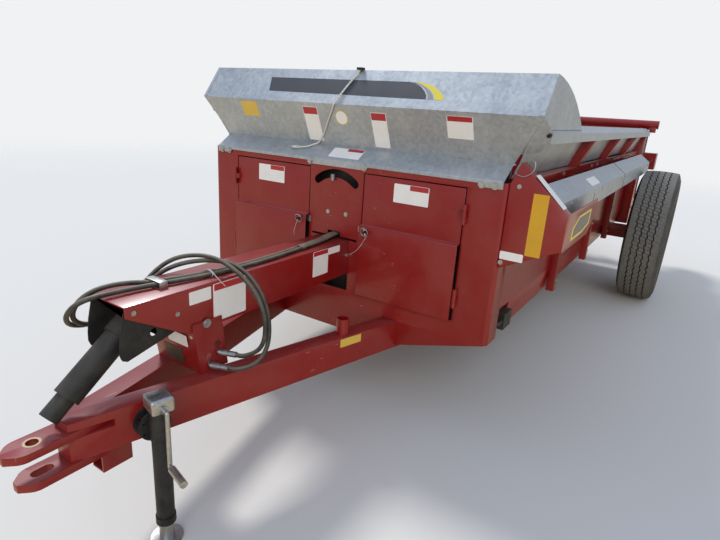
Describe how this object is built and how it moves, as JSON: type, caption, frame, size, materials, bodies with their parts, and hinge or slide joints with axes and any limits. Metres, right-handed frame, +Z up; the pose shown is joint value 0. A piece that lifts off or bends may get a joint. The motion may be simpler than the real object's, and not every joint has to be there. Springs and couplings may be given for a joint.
{
  "type": "manure spreader",
  "caption": "Towed single-axle box manure spreader with apron floor, lifting end gate, rear beater, V drawbar, covered drive line and tongue jack.",
  "frame": {"origin": "on the ground in the middle of the machine's bounding box", "axes": "+X forward to the hitch, +Y to the machine's left, +Z up"},
  "size_m": [6.0919, 2.521, 1.561],
  "materials": {
    "red_paint": "gloss",
    "black_plastic": "matte",
    "dark_steel": "satin",
    "zinc": "satin",
    "galvanised": "satin",
    "floor_boards": "matte",
    "tyre_rubber": "matte",
    "wheel_paint": "satin",
    "chrome_rod": "gloss",
    "beater_paint": "satin",
    "hose_rubber": "satin",
    "rope": "matte"
  },
  "bodies": {
    "chassis": {"hitch_clevis": "red_paint", "drawbar": "red_paint", "stub_tube": "red_paint", "pto_post": "red_paint", "pto_channel": "red_paint", "pto_guard": "black_plastic", "input_shaft": "dark_steel", "jack_mount": "dark_steel", "front_shield": "red_paint", "front_wall": "galvanised", "shelf": "galvanised", "front_panel": "galvanised", "floor": "floor_boards", "side_left": "red_paint", "side_right": "red_paint", "lower_panels": "red_paint", "frame_sills": "red_paint", "stakes": "red_paint", "flare_left": "galvanised", "flare_right": "galvanised", "corner_guard": "red_paint", "cover_front": "galvanised", "cover_rear": "galvanised", "side_shaft": "dark_steel", "axle": "red_paint", "rear_frame": "red_paint", "gate_barrels": "dark_steel", "beater_ends": "red_paint", "apron_chain": "dark_steel", "apron_shafts": "dark_steel", "take_ups": "black_plastic", "drive_chain": "dark_steel", "hose_clamp": "zinc", "hose_couplers": "zinc", "rope_clip": "black_plastic", "hose_left": "hose_rubber", "hose_right": "hose_rubber", "pull_rope": "rope"},
    "wheel_left": {"tyre_left": "tyre_rubber", "rim_left": "wheel_paint"},
    "wheel_right": {"tyre_right": "tyre_rubber", "rim_right": "wheel_paint"},
    "beater": {"beater": "beater_paint"},
    "gate": {"gate_panel": "red_paint", "gate_rods": "chrome_rod"},
    "door_left": {"door_left": "red_paint"},
    "door_right": {"door_right": "red_paint"},
    "jack": {"jack_tube": "dark_steel", "jack_cap": "zinc"},
    "jack_leg": {"jack_leg": "zinc"},
    "drive_half": {"pto_shaft": "black_plastic"}
  },
  "joints": [
    {"name": "wheel_left_spin", "type": "hinge", "parent": "chassis", "child": "wheel_left", "pos_m": [-1.364, 1.121, 0.527], "axis": [0, 1, 0], "continuous": true},
    {"name": "wheel_right_spin", "type": "hinge", "parent": "chassis", "child": "wheel_right", "pos_m": [-1.364, -1.121, 0.527], "axis": [0, 1, 0], "continuous": true},
    {"name": "beater_spin", "type": "hinge", "parent": "chassis", "child": "beater", "pos_m": [-2.686, 0, 1.055], "axis": [0, 1, 0], "continuous": true},
    {"name": "gate_lift", "type": "slide", "parent": "chassis", "child": "gate", "axis": [0, 0, 1], "range_m": [0, 0.5]},
    {"name": "door_left_hinge", "type": "hinge", "parent": "chassis", "child": "door_left", "pos_m": [1.6, 0.64, 0.84], "axis": [0, 0, 1], "range_deg": [0, 110]},
    {"name": "door_right_hinge", "type": "hinge", "parent": "chassis", "child": "door_right", "pos_m": [1.6, -0.64, 0.84], "axis": [0, 0, -1], "range_deg": [0, 110]},
    {"name": "jack_swivel", "type": "hinge", "parent": "chassis", "child": "jack", "pos_m": [2.661, 0.09433, 0.405], "axis": [0.2509, 0.968, 0], "range_deg": [0, 90]},
    {"name": "jack_extend", "type": "slide", "parent": "jack", "child": "jack_leg", "axis": [0, 0, -1], "range_m": [-0.03, 0.35]},
    {"name": "drive_lift", "type": "hinge", "parent": "chassis", "child": "drive_half", "pos_m": [2.626, 0, 0.725], "axis": [0, -1, 0], "range_deg": [0, 40]}
  ]
}
